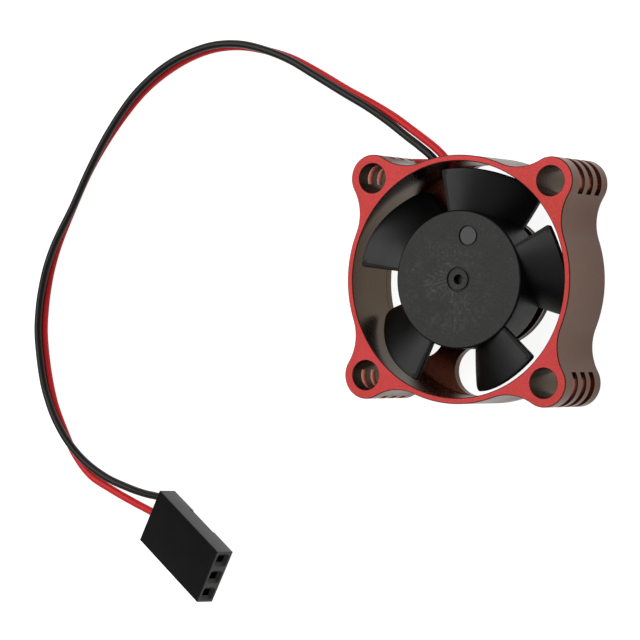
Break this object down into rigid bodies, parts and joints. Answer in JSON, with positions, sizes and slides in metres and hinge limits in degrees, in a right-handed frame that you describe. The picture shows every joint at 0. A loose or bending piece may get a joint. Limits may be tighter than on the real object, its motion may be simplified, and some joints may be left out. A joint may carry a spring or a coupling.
{
  "type": "cooling fan",
  "caption": "Small square axial cooling fan in a red metal frame with slotted screw lobes, a black bladed rotor, and a thin wire lead that ends in a flat plug.",
  "frame": {"origin": "middle of the back face, on the rotor's axis", "axes": "+Z along the rotor's axis towards the intake side, which faces away from the cooled heat sink; +Y towards the edge where the lead leaves, which is at -X, +Y"},
  "size_m": [0.0815, 0.0715, 0.01],
  "materials": {
    "frame_red": "satin red anodised face, bare-machined side walls",
    "label": "plain foil",
    "brass": "turned",
    "impeller_black": "matte black, satin blades",
    "plated_steel": "plated sheet",
    "ferrite": "dark bonded ferrite",
    "zinc": "die-cast",
    "lamination": "stacked laminations",
    "board": "green solder mask",
    "chip_black": "moulded",
    "ceramic": "tan ceramic",
    "wire_red": "soft satin sleeve",
    "wire_black": "soft satin sleeve",
    "plug_black": "moulded, near black",
    "copper": "enamelled wire",
    "nylon": "natural",
    "solder": "bright",
    "tinned": "tinned",
    "steel": "ground"
  },
  "bodies": {
    "stator": {"frame": "frame_red", "back_label": "label", "bearing_tube": "brass", "lower_bearing_outer_race": "steel", "lower_bearing_ball_ring": "steel", "upper_bearing_outer_race": "steel", "upper_bearing_ball_ring": "steel", "stator_core": "lamination", "insulator_lower": "nylon", "insulator_upper": "nylon", "coil_1": "copper", "coil_2": "copper", "coil_3": "copper", "coil_4": "copper", "circuit_board": "board", "driver_chip": "chip_black", "capacitor": "ceramic", "protection_diode": "chip_black", "winding_pin_1": "tinned", "winding_pin_2": "tinned", "solder_joint_red": "solder", "solder_joint_black": "solder", "red_wire": "wire_red", "black_wire": "wire_black", "plug_housing": "plug_black", "crimp_terminal_red": "tinned", "crimp_terminal_black": "tinned"},
    "rotor": {"impeller": "impeller_black", "rotor_yoke": "plated_steel", "ring_magnet": "ferrite", "shaft_boss": "zinc", "shaft": "steel", "shaft_clip": "steel", "preload_washer": "steel", "lower_bearing_inner_race": "steel", "upper_bearing_inner_race": "steel"}
  },
  "joints": [
    {"name": "rotor_spin", "type": "hinge", "parent": "stator", "child": "rotor", "pos_m": [0, 0, 0], "axis": [0, 0, 1], "continuous": true}
  ]
}
